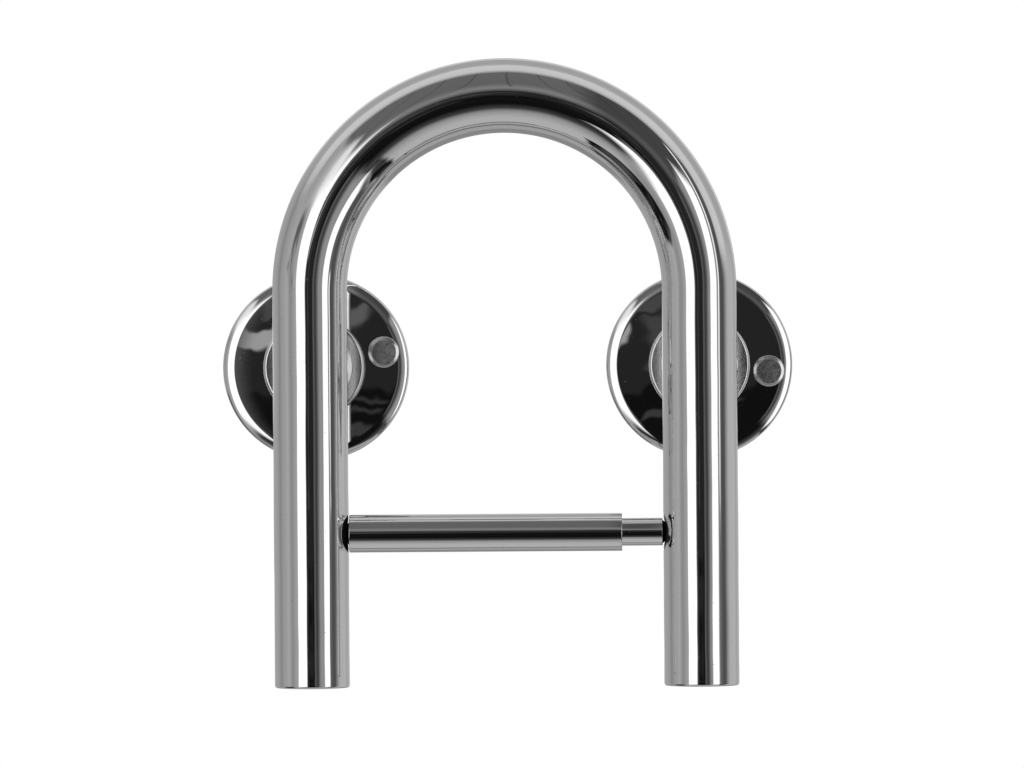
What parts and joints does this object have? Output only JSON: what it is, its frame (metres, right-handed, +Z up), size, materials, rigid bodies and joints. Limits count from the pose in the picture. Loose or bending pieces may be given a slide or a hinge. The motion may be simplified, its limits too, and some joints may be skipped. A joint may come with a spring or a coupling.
{
  "type": "grab rail",
  "caption": "Polished inverted-U wall grab rail on round swivelling flanges, with a spring-loaded telescopic roll holder between its legs.",
  "frame": {"origin": "on the wall plane, midway between the two posts, at the height of their centres", "axes": "+Z up, +X to the right seen from the front, +Y into the wall; the front faces -Y"},
  "size_m": [0.245, 0.0697, 0.2662],
  "materials": {
    "polished_steel": "mirror polished",
    "turned_steel": "turned, satin",
    "zinc_steel": "zinc plated",
    "satin_cap": "satin",
    "black_acetal": "moulded, glossy",
    "spring_steel": "drawn wire"
  },
  "bodies": {
    "rail": {"rail_tube": "polished_steel", "left_end_cap": "polished_steel", "right_end_cap": "polished_steel", "left_post": "polished_steel", "right_post": "polished_steel", "left_hub": "turned_steel", "right_hub": "turned_steel", "left_post_plug": "zinc_steel", "right_post_plug": "zinc_steel", "left_retaining_washer": "zinc_steel", "right_retaining_washer": "zinc_steel", "left_retaining_screw": "zinc_steel", "right_retaining_screw": "zinc_steel", "left_roller_socket": "black_acetal", "right_roller_socket": "black_acetal"},
    "left_wall_flange": {"left_flange": "polished_steel", "left_screw_cap_1": "satin_cap", "left_screw_cap_2": "satin_cap", "left_screw_cap_3": "satin_cap"},
    "right_wall_flange": {"right_flange": "polished_steel", "right_screw_cap_1": "satin_cap", "right_screw_cap_2": "satin_cap", "right_screw_cap_3": "satin_cap"},
    "roller_outer": {"roller_sleeve": "polished_steel", "roller_left_tip": "black_acetal", "roller_guide": "black_acetal", "roller_spring": "spring_steel"},
    "roller_inner": {"roller_inner_tube": "polished_steel", "roller_right_tip": "black_acetal", "roller_piston": "black_acetal"}
  },
  "joints": [
    {"name": "left_flange_turn", "type": "hinge", "parent": "rail", "child": "left_wall_flange", "pos_m": [-0.0825, 0, 0], "axis": [0, 1, 0], "continuous": true},
    {"name": "right_flange_turn", "type": "hinge", "parent": "rail", "child": "right_wall_flange", "pos_m": [0.0825, 0, 0], "axis": [0, 1, 0], "continuous": true},
    {"name": "roller_spin", "type": "hinge", "parent": "rail", "child": "roller_outer", "pos_m": [0, -0.05387, -0.0706], "axis": [1, 0, 0], "continuous": true},
    {"name": "roller_compress", "type": "slide", "parent": "roller_outer", "child": "roller_inner", "axis": [-1, 0, 0], "range_m": [0, 0.012], "stiffness_N_per_m": 700, "springref_m": -0.009, "deforming": ["roller_spring"]}
  ]
}
